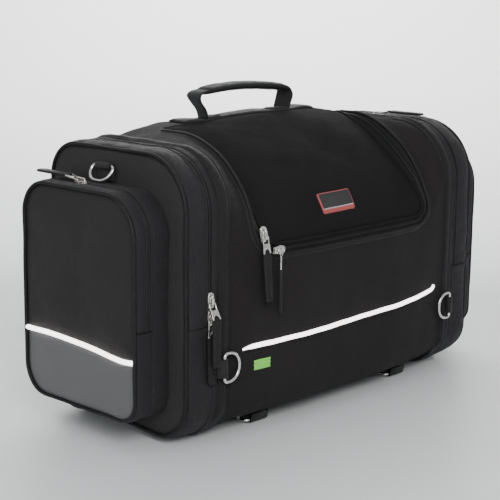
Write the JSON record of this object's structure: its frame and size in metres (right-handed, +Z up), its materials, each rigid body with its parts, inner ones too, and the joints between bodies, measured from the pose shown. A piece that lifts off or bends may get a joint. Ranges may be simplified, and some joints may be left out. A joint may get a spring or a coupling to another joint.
{
  "type": "tail bag",
  "caption": "Soft motorcycle tail bag with a zipped lid, tipping end compartments with flat outer pockets, a carry handle and D rings for tie-down straps.",
  "frame": {"origin": "centre of the bag's footprint on the surface it stands on", "axes": "+X along the bag's length towards its right end seen from the front, +Y from the front towards the back, +Z up"},
  "size_m": [0.576, 0.2374, 0.3529],
  "materials": {
    "body_fabric": "coarse black polyester weave with a pebbled, slightly shiny coating",
    "lid_fabric": "coarse black polyester weave, padded",
    "gusset_fabric": "coarse black polyester weave",
    "end_fabric": "black polyester weave over a stiff panel",
    "pocket_fabric": "fine dark grey polyester weave",
    "pocket_facing": "smooth grey coated fabric, satin",
    "padded_band": "padded black weave with a fine pebble",
    "zip_tape": "ribbed zip tape with a coil",
    "piping": "extruded piping, satin black",
    "reflective": "retroreflective silver piping",
    "webbing": "ribbed polypropylene webbing",
    "handle_rubber": "ribbed rubber, matt",
    "badge": "moulded badge with a raised rim, plain",
    "ring_metal": "black nickel plated wire",
    "zip_metal": "gunmetal casting",
    "pull_leather": "black leather, stitched edge",
    "stiffener_board": "lining over plastic board"
  },
  "bodies": {
    "root": {"main_body_shell": "body_fabric", "base_board": "stiffener_board", "end_dividers": "stiffener_board", "end_gussets": "gusset_fabric", "body_welts": "padded_band", "left_gusset_lower": "gusset_fabric", "right_gusset_lower": "gusset_fabric", "body_zip_tapes": "zip_tape", "lid_frame_piping": "piping", "front_reflective_piping": "reflective", "handle_strap": "webbing", "ring_loops": "webbing", "underside_loops": "webbing"},
    "lid": {"lid_panel": "lid_fabric", "lid_zip_tape": "zip_tape", "lid_patch": "badge"},
    "left_door": {"left_end_panel": "end_fabric", "left_end_piping": "piping", "left_gusset_outer": "gusset_fabric", "left_door_zip_tapes": "zip_tape", "left_pocket_walls": "pocket_fabric", "left_pocket_facing": "pocket_facing", "left_pocket_reflective": "reflective", "left_ring_loop": "webbing"},
    "left_flap": {"left_pocket_flap": "pocket_fabric", "left_flap_piping": "piping", "left_flap_zip_tape": "zip_tape"},
    "right_door": {"right_end_panel": "end_fabric", "right_end_piping": "piping", "right_gusset_outer": "gusset_fabric", "right_door_zip_tapes": "zip_tape", "right_pocket_walls": "pocket_fabric", "right_pocket_facing": "pocket_facing", "right_pocket_reflective": "reflective", "right_ring_loop": "webbing"},
    "right_flap": {"right_pocket_flap": "pocket_fabric", "right_flap_piping": "piping", "right_flap_zip_tape": "zip_tape"},
    "handle": {"handle_webbing": "webbing", "handle_grip": "handle_rubber"},
    "lid_slider_a": {"lid_slider_a": "zip_metal"},
    "lid_slider_b": {"lid_slider_b": "zip_metal"},
    "left_end_slider_a": {"left_end_slider_a": "zip_metal"},
    "left_end_slider_b": {"left_end_slider_b": "zip_metal"},
    "right_end_slider": {"right_end_slider": "zip_metal"},
    "left_pocket_slider": {"left_pocket_slider": "zip_metal"},
    "right_pocket_slider": {"right_pocket_slider": "zip_metal"},
    "lid_pull_a": {"lid_pull_a": "pull_leather"},
    "lid_pull_b": {"lid_pull_b": "pull_leather"},
    "left_end_pull_a": {"left_end_pull_a": "pull_leather"},
    "left_end_pull_b": {"left_end_pull_b": "pull_leather"},
    "right_end_pull": {"right_end_pull": "pull_leather"},
    "left_pocket_pull": {"left_pocket_pull": "pull_leather"},
    "right_pocket_pull": {"right_pocket_pull": "pull_leather"},
    "front_left_ring": {"front_left_ring": "ring_metal"},
    "front_right_ring": {"front_right_ring": "ring_metal"},
    "left_end_ring": {"left_end_ring": "ring_metal"},
    "right_end_ring": {"right_end_ring": "ring_metal"},
    "underside_left_ring": {"underside_left_ring": "ring_metal"},
    "underside_right_ring": {"underside_right_ring": "ring_metal"}
  },
  "joints": [
    {"name": "lid_open", "type": "hinge", "parent": "root", "child": "lid", "pos_m": [0, 0.033, 0.3167], "axis": [-1, 0, 0], "range_deg": [0, 100]},
    {"name": "lid_slider_a_slide", "type": "slide", "parent": "lid", "child": "lid_slider_a", "axis": [1, 0, 0], "range_m": [0, 0.235]},
    {"name": "lid_pull_a_swing", "type": "hinge", "parent": "lid_slider_a", "child": "lid_pull_a", "pos_m": [-0.122, -0.11585, 0.1953], "axis": [-1, 0, 0], "range_deg": [0, 90]},
    {"name": "lid_slider_b_slide", "type": "hinge", "parent": "lid", "child": "lid_slider_b", "pos_m": [-0.143, 0.0045, 0.201], "axis": [-1, 0, 0], "range_deg": [0, 55]},
    {"name": "lid_pull_b_swing", "type": "hinge", "parent": "lid_slider_b", "child": "lid_pull_b", "pos_m": [-0.143, -0.11277, 0.21182], "axis": [-1, 0, 0], "range_deg": [0, 115]},
    {"name": "left_door_tilt", "type": "hinge", "parent": "root", "child": "left_door", "pos_m": [-0.2413, 0, 0], "axis": [0, -1, 0], "range_deg": [0, 28], "deforming": ["left_gusset_lower"]},
    {"name": "left_flap_open", "type": "hinge", "parent": "left_door", "child": "left_flap", "pos_m": [-0.2872, 0, 0.127], "axis": [0, -1, 0], "range_deg": [0, 98]},
    {"name": "right_door_tilt", "type": "hinge", "parent": "root", "child": "right_door", "pos_m": [0.2413, 0, 0], "axis": [0, 1, 0], "range_deg": [0, 28], "deforming": ["right_gusset_lower"]},
    {"name": "right_flap_open", "type": "hinge", "parent": "right_door", "child": "right_flap", "pos_m": [0.2872, 0, 0.127], "axis": [0, 1, 0], "range_deg": [0, 98]},
    {"name": "left_end_slider_a_slide", "type": "slide", "parent": "left_door", "child": "left_end_slider_a", "axis": [0, 0, 1], "range_m": [0, 0.08]},
    {"name": "left_end_slider_b_slide", "type": "slide", "parent": "left_door", "child": "left_end_slider_b", "axis": [0, 0, 1], "range_m": [0, 0.08]},
    {"name": "left_end_pull_a_swing", "type": "hinge", "parent": "left_end_slider_a", "child": "left_end_pull_a", "pos_m": [-0.209, -0.1026, 0.1514], "axis": [-1, 0, 0], "range_deg": [0, 95]},
    {"name": "left_end_pull_b_swing", "type": "hinge", "parent": "left_end_slider_b", "child": "left_end_pull_b", "pos_m": [-0.209, -0.1026, 0.1334], "axis": [-1, 0, 0], "range_deg": [0, 95]},
    {"name": "right_end_slider_slide", "type": "slide", "parent": "right_door", "child": "right_end_slider", "axis": [0, 1, 0], "range_m": [-0.054, 0.038]},
    {"name": "right_end_pull_swing", "type": "hinge", "parent": "right_end_slider", "child": "right_end_pull", "pos_m": [0.209, 0.0224, 0.3046], "axis": [-1, 0, 0], "range_deg": [0, 120]},
    {"name": "left_pocket_slider_slide", "type": "slide", "parent": "left_flap", "child": "left_pocket_slider", "axis": [0, 1, 0], "range_m": [-0.05, 0.03]},
    {"name": "left_pocket_pull_swing", "type": "hinge", "parent": "left_pocket_slider", "child": "left_pocket_pull", "pos_m": [-0.267, 0.0316, 0.2676], "axis": [1, 0, 0], "range_deg": [0, 120]},
    {"name": "right_pocket_slider_slide", "type": "slide", "parent": "right_flap", "child": "right_pocket_slider", "axis": [0, 1, 0], "range_m": [-0.05, 0.03]},
    {"name": "right_pocket_pull_swing", "type": "hinge", "parent": "right_pocket_slider", "child": "right_pocket_pull", "pos_m": [0.267, 0.0316, 0.2676], "axis": [1, 0, 0], "range_deg": [0, 120]},
    {"name": "handle_tilt", "type": "hinge", "parent": "root", "child": "handle", "pos_m": [0, 0.06, 0.3219], "axis": [-1, 0, 0], "range_deg": [-60, 60]},
    {"name": "front_left_ring_swing", "type": "hinge", "parent": "root", "child": "front_left_ring", "pos_m": [-0.1945, -0.1066, 0.0815], "axis": [0, 0, -1], "range_deg": [0, 140]},
    {"name": "left_end_ring_swing", "type": "hinge", "parent": "left_door", "child": "left_end_ring", "pos_m": [-0.2456, 0.019, 0.2812], "axis": [0, 1, 0], "range_deg": [0, 140]},
    {"name": "front_right_ring_swing", "type": "hinge", "parent": "root", "child": "front_right_ring", "pos_m": [0.1945, -0.1066, 0.0815], "axis": [0, 0, 1], "range_deg": [0, 140]},
    {"name": "right_end_ring_swing", "type": "hinge", "parent": "right_door", "child": "right_end_ring", "pos_m": [0.2456, 0.019, 0.2812], "axis": [0, -1, 0], "range_deg": [0, 140]},
    {"name": "underside_left_ring_swing", "type": "hinge", "parent": "root", "child": "underside_left_ring", "pos_m": [-0.116, -0.079, 0.0046], "axis": [1, 0, 0], "range_deg": [-100, 12]},
    {"name": "underside_right_ring_swing", "type": "hinge", "parent": "root", "child": "underside_right_ring", "pos_m": [0.126, -0.079, 0.0046], "axis": [1, 0, 0], "range_deg": [-100, 12]}
  ],
  "couplings": [
    {"joint": "left_end_slider_b_slide", "follows": "left_end_slider_a_slide", "ratio": 1},
    {"joint": "left_end_pull_a_swing", "follows": "left_end_pull_b_swing", "ratio": 1}
  ]
}
